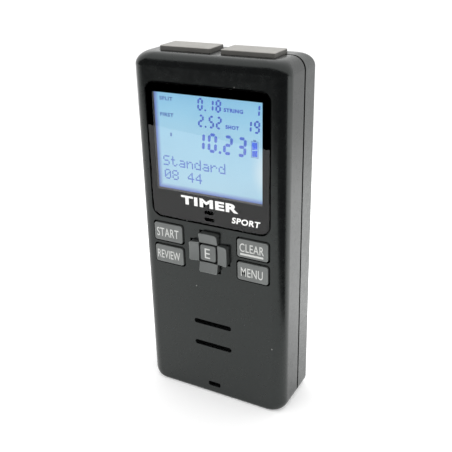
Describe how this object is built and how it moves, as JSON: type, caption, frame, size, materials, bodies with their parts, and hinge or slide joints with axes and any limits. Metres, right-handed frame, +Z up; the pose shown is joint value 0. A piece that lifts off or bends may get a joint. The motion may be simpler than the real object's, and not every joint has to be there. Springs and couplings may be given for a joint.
{
  "type": "sport shot timer",
  "caption": "Flat handheld electronic shot timer with backlit segment display, legend keys around a rocking cross pad, grey top buttons, sounder slots and a sliding battery door.",
  "frame": {"origin": "middle of the base face", "axes": "+Z up the case, display and keys face -Y, +X towards the side on the right of a reader facing the display"},
  "size_m": [0.0444, 0.0204, 0.1011],
  "materials": {
    "case_plastic": "fine textured, near black",
    "black_steel": "blackened",
    "clear_window": "clear, polished",
    "mask_ink": "black print",
    "foam_tape": "matt",
    "display_film": "blue display",
    "display_glass": "clear",
    "frame_plastic": "matt",
    "light_guide": "diffuse",
    "lamp_white": "gloss",
    "zebra_rubber": "matt",
    "key_rubber": "matt grey",
    "pad_rubber": "matt grey",
    "button_rubber": "matt warm grey",
    "mat_rubber": "matt",
    "carbon_pill": "matt",
    "switch_plastic": "matt",
    "board_laminate": "solder mask",
    "bright_steel": "bright",
    "chip_plastic": "matt",
    "capacitor_can": "satin",
    "brass_disc": "satin",
    "piezo_ceramic": "matt",
    "mesh_cloth": "woven",
    "cell_sleeve": "shrink sleeve"
  },
  "bodies": {
    "case": {"front_case": "case_plastic", "rear_case": "case_plastic", "case_screws": "black_steel", "display_window": "clear_window", "window_mask": "mask_ink", "window_tape": "foam_tape", "display_polariser": "display_film", "display_front_glass": "display_glass", "display_rear_glass": "display_glass", "display_frame": "frame_plastic", "backlight_panel": "light_guide", "backlight_lamps": "lamp_white", "elastomer_strip": "zebra_rubber", "keypad_mat": "mat_rubber", "top_switches": "switch_plastic", "main_board": "board_laminate", "board_screws": "bright_steel", "controller_chip": "chip_plastic", "amplifier_chip": "chip_plastic", "quartz_crystal": "bright_steel", "capacitors": "capacitor_can", "microphone_boot": "mat_rubber", "microphone": "bright_steel", "sounder_ring": "switch_plastic", "sounder_disc": "brass_disc", "sounder_ceramic": "piezo_ceramic", "sounder_mesh": "mesh_cloth", "battery_cells": "cell_sleeve", "contact_plates": "bright_steel", "contact_springs": "bright_steel", "audio_jack": "switch_plastic", "charge_jack": "switch_plastic", "charge_pin": "bright_steel"},
    "door": {"battery_door": "case_plastic"},
    "start": {"start_key": "key_rubber", "start_pill": "carbon_pill"},
    "review": {"review_key": "key_rubber", "review_pill": "carbon_pill"},
    "clear": {"clear_key": "key_rubber", "clear_pill": "carbon_pill"},
    "menu": {"menu_key": "key_rubber", "menu_pill": "carbon_pill"},
    "enter": {"enter_key": "pad_rubber", "enter_pill": "carbon_pill"},
    "pivot": {"pad_pivot": "mat_rubber"},
    "pad": {"direction_pad": "pad_rubber", "pad_pills": "carbon_pill"},
    "top_left": {"top_button_left": "button_rubber", "switch_plunger_left": "switch_plastic"},
    "top_right": {"top_button_right": "button_rubber", "switch_plunger_right": "switch_plastic"}
  },
  "joints": [
    {"name": "start_press", "type": "slide", "parent": "case", "child": "start", "axis": [0, 1, 0], "range_m": [0, 0.0006], "stiffness_N_per_m": 2500, "springref_m": -0.0001},
    {"name": "review_press", "type": "slide", "parent": "case", "child": "review", "axis": [0, 1, 0], "range_m": [0, 0.0006], "stiffness_N_per_m": 2500, "springref_m": -0.0001},
    {"name": "clear_press", "type": "slide", "parent": "case", "child": "clear", "axis": [0, 1, 0], "range_m": [0, 0.0006], "stiffness_N_per_m": 2500, "springref_m": -0.0001},
    {"name": "menu_press", "type": "slide", "parent": "case", "child": "menu", "axis": [0, 1, 0], "range_m": [0, 0.0006], "stiffness_N_per_m": 2500, "springref_m": -0.0001},
    {"name": "enter_press", "type": "slide", "parent": "case", "child": "enter", "axis": [0, 1, 0], "range_m": [0, 0.0006], "stiffness_N_per_m": 2500, "springref_m": -0.0001},
    {"name": "pad_up_down", "type": "hinge", "parent": "case", "child": "pivot", "pos_m": [0, -0.0061, 0.0474], "axis": [1, 0, 0], "range_deg": [-2.5, 2.5], "stiffness_Nm_per_rad": 0.16},
    {"name": "pad_left_right", "type": "hinge", "parent": "pivot", "child": "pad", "pos_m": [0, -0.0061, 0.0474], "axis": [0, 0, 1], "range_deg": [-2.5, 2.5], "stiffness_Nm_per_rad": 0.16},
    {"name": "left_button_press", "type": "slide", "parent": "case", "child": "top_left", "axis": [0, 0, -1], "range_m": [0, 0.0005], "stiffness_N_per_m": 4000, "springref_m": -0.0001},
    {"name": "right_button_press", "type": "slide", "parent": "case", "child": "top_right", "axis": [0, 0, -1], "range_m": [0, 0.0005], "stiffness_N_per_m": 4000, "springref_m": -0.0001},
    {"name": "battery_door_slide", "type": "slide", "parent": "case", "child": "door", "axis": [0, 0, -1], "range_m": [0, 0.0565]}
  ]
}
